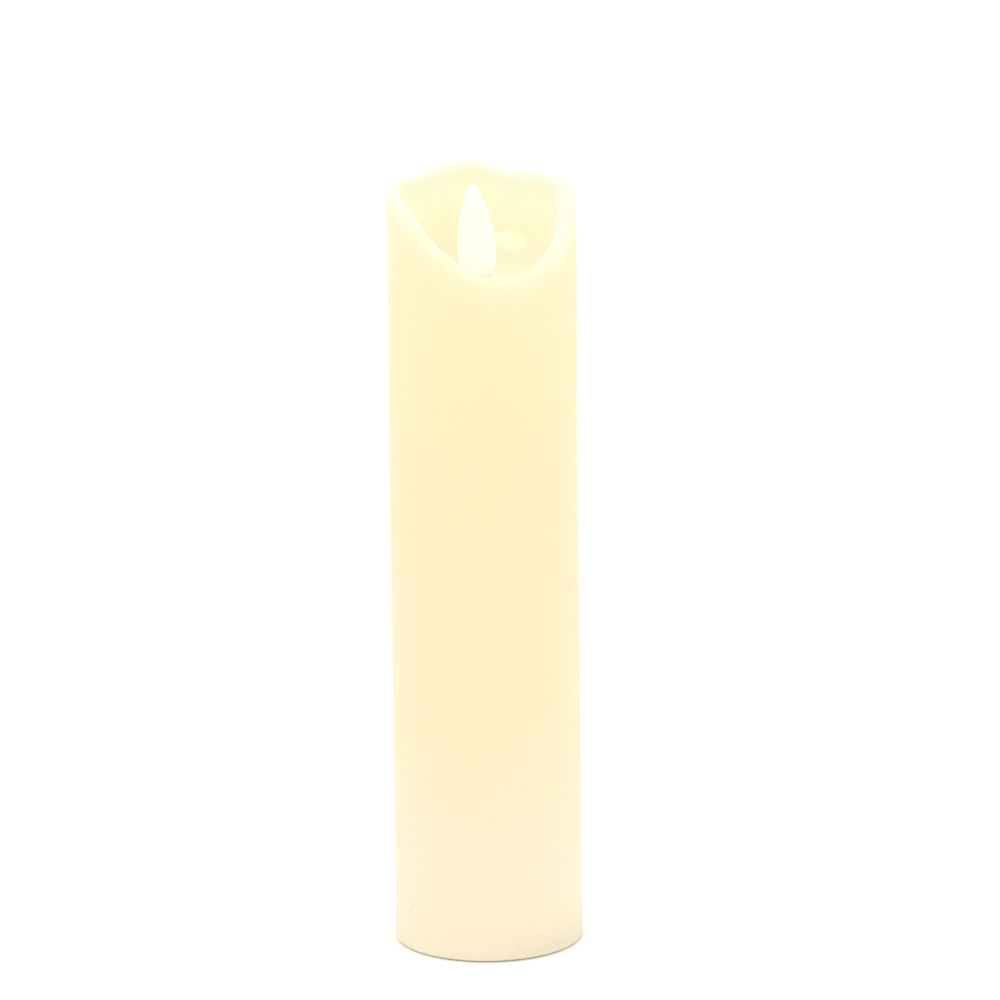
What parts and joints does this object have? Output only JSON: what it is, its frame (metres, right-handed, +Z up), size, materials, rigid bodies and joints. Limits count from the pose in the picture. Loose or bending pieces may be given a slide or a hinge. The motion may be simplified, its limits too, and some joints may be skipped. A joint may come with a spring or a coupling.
{
  "type": "flameless led pillar candle",
  "caption": "Slim wax pillar candle with a melted scooped rim, a swinging light-up flame blade in its well, and a screwed-in base with battery door and slide switch.",
  "frame": {"origin": "centre of the standing face, on the table plane", "axes": "+Z up along the candle, -Y towards the low side of the melted rim, +X to the right seen from there"},
  "size_m": [0.0552, 0.0552, 0.2284],
  "materials": {
    "wax": "warm ivory paraffin wax, satin, faintly translucent",
    "core_plastic": "natural white moulded plastic",
    "ivory_plastic": "ivory moulded plastic, fine texture",
    "dark_plastic": "black moulded plastic",
    "flame_plastic": "milky translucent plastic",
    "steel": "zinc-plated steel",
    "nickel": "nickel-plated spring steel",
    "magnet": "nickel-plated magnet",
    "copper": "enamelled copper wire",
    "board": "green circuit board",
    "chip": "black epoxy",
    "capacitor_sleeve": "dark blue sleeve, bare aluminium top",
    "cell": "printed metal sleeve",
    "led_lens": "clear warm epoxy",
    "wire_red": "red insulation",
    "wire_black": "black insulation"
  },
  "bodies": {
    "candle": {"wax_shell": "wax", "core_tube": "core_plastic", "base_chassis": "ivory_plastic", "hinge_pin": "steel", "battery_1": "cell", "battery_2": "cell", "contact_positive": "nickel", "contact_negative": "nickel", "top_spring": "nickel", "base_screw_1": "steel", "base_screw_2": "steel", "base_screw_3": "steel", "switch_frame": "steel", "switch_insulator": "dark_plastic", "switch_board": "board", "switch_terminal_1": "nickel", "switch_terminal_2": "nickel", "switch_terminal_3": "nickel", "switch_screw_1": "steel", "switch_screw_2": "steel", "module_housing_left": "ivory_plastic", "module_housing_right": "ivory_plastic", "module_screw_1": "steel", "module_screw_2": "steel", "module_mount_screw_1": "steel", "module_mount_screw_2": "steel", "board_screw_1": "steel", "board_screw_2": "steel", "flame_board": "board", "coil_bobbin": "dark_plastic", "coil_winding": "copper", "controller_chip": "chip", "driver_transistor": "chip", "flyback_diode": "chip", "resistor_1": "chip", "resistor_2": "chip", "smoothing_capacitor": "capacitor_sleeve", "pivot_wire": "steel", "led": "led_lens", "led_lead_anode": "nickel", "led_lead_cathode": "nickel", "led_wire_anode": "wire_red", "led_wire_cathode": "wire_black", "wire_battery_to_switch": "wire_red", "wire_switch_to_board": "wire_red", "wire_battery_negative": "wire_black"},
    "door": {"battery_door": "ivory_plastic", "door_contact": "nickel", "door_spring": "nickel"},
    "switch": {"switch_knob": "dark_plastic", "switch_actuator": "dark_plastic"},
    "flame": {"flame_blade": "flame_plastic", "flame_magnet": "magnet"}
  },
  "joints": [
    {"name": "flame_swing", "type": "hinge", "parent": "candle", "child": "flame", "pos_m": [0, 0, 0.186], "axis": [0, 1, 0], "range_deg": [-6.8, 13.2]},
    {"name": "battery_door_hinge", "type": "hinge", "parent": "candle", "child": "door", "pos_m": [0, 0.0149, 0.0019], "axis": [1, 0, 0], "range_deg": [0, 95]},
    {"name": "switch_slide", "type": "slide", "parent": "candle", "child": "switch", "axis": [1, 0, 0], "range_m": [-0.002, 0.002]}
  ]
}
